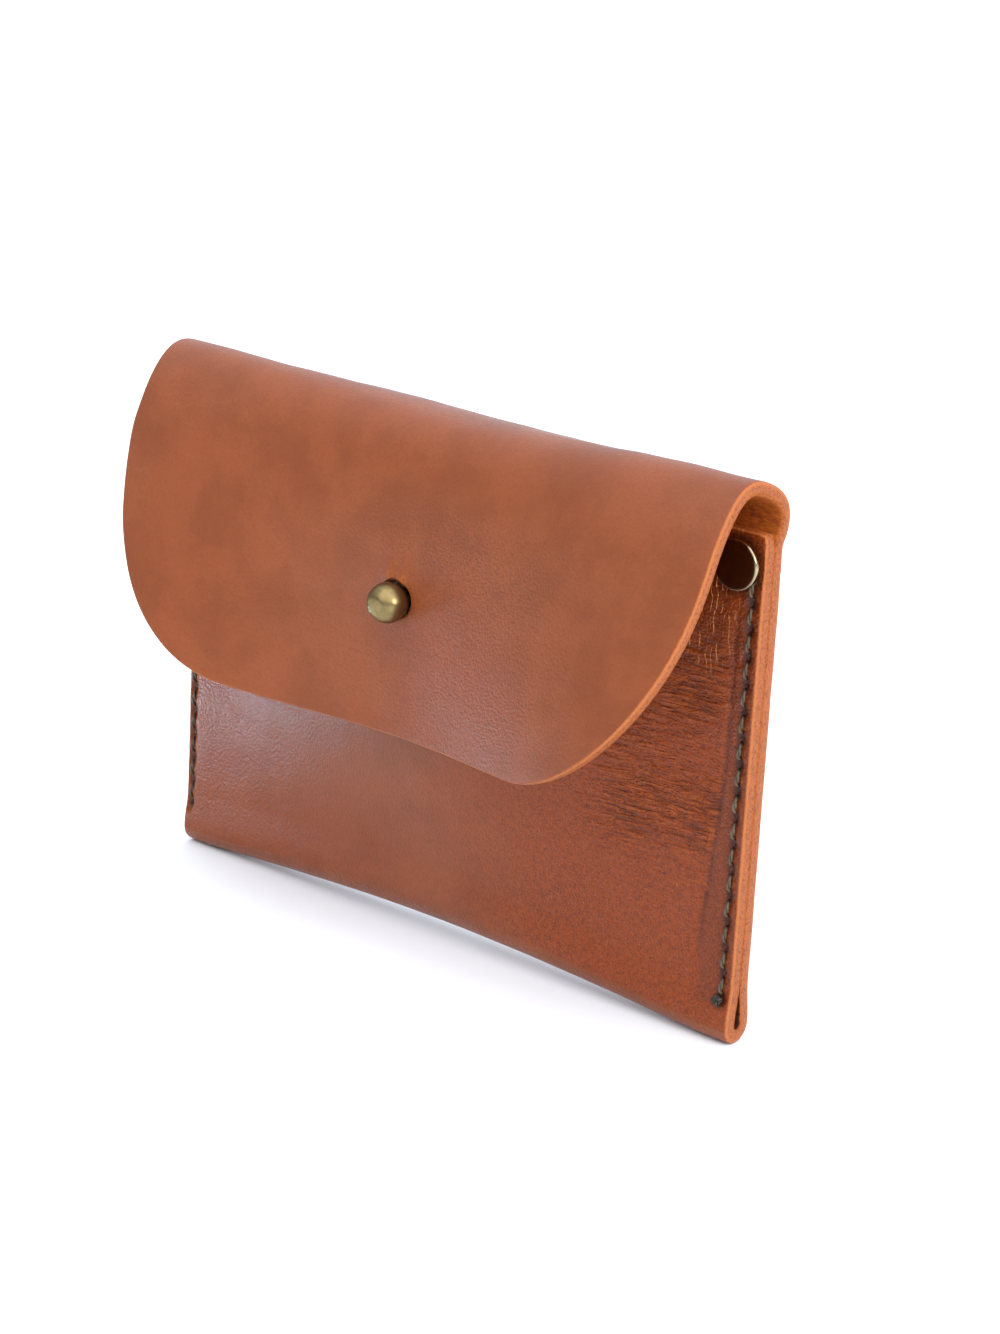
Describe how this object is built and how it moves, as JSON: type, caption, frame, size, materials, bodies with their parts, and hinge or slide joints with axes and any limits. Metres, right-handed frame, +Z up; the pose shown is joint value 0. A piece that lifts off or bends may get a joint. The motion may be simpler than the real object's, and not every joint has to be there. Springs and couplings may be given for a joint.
{
  "type": "card holder",
  "caption": "Envelope-style leather card holder with a stitched pocket and a rounded flap that hooks over a brass ball stud.",
  "frame": {"origin": "middle of the footprint, on the surface that the bottom fold stands on", "axes": "+X across the width, to the right seen from the front; the front faces -Y; +Z up"},
  "size_m": [0.105, 0.029, 0.0797],
  "materials": {
    "leather": "satin cognac vegetable-tanned leather with burnished edges",
    "brass": "antique brass",
    "thread": "waxed dark olive-brown thread"
  },
  "bodies": {
    "pocket": {"pocket_leather": "leather", "stud_ball": "brass", "stud_screw": "brass", "rivet_left_post": "brass", "rivet_left_cap": "brass", "rivet_right_post": "brass", "rivet_right_cap": "brass", "thread_left": "thread", "thread_right": "thread"},
    "fold_rear": {"fold_rear_leather": "leather"},
    "fold_front": {"fold_front_leather": "leather"},
    "flap": {"flap_leather": "leather"}
  },
  "joints": [
    {"name": "flap_open_rear", "type": "hinge", "parent": "pocket", "child": "fold_rear", "pos_m": [0, 0.0122, 0.07613], "axis": [-1, 0, 0], "range_deg": [0, 55]},
    {"name": "flap_open_top", "type": "hinge", "parent": "fold_rear", "child": "fold_front", "pos_m": [0, 0.0066, 0.079], "axis": [-1, 0, 0], "range_deg": [0, 55]},
    {"name": "flap_open_front", "type": "hinge", "parent": "fold_front", "child": "flap", "pos_m": [0, 0.0009, 0.0782], "axis": [-1, 0, 0], "range_deg": [0, 55]}
  ],
  "couplings": [
    {"joint": "flap_open_top", "follows": "flap_open_rear", "ratio": 1},
    {"joint": "flap_open_front", "follows": "flap_open_rear", "ratio": 1}
  ]
}
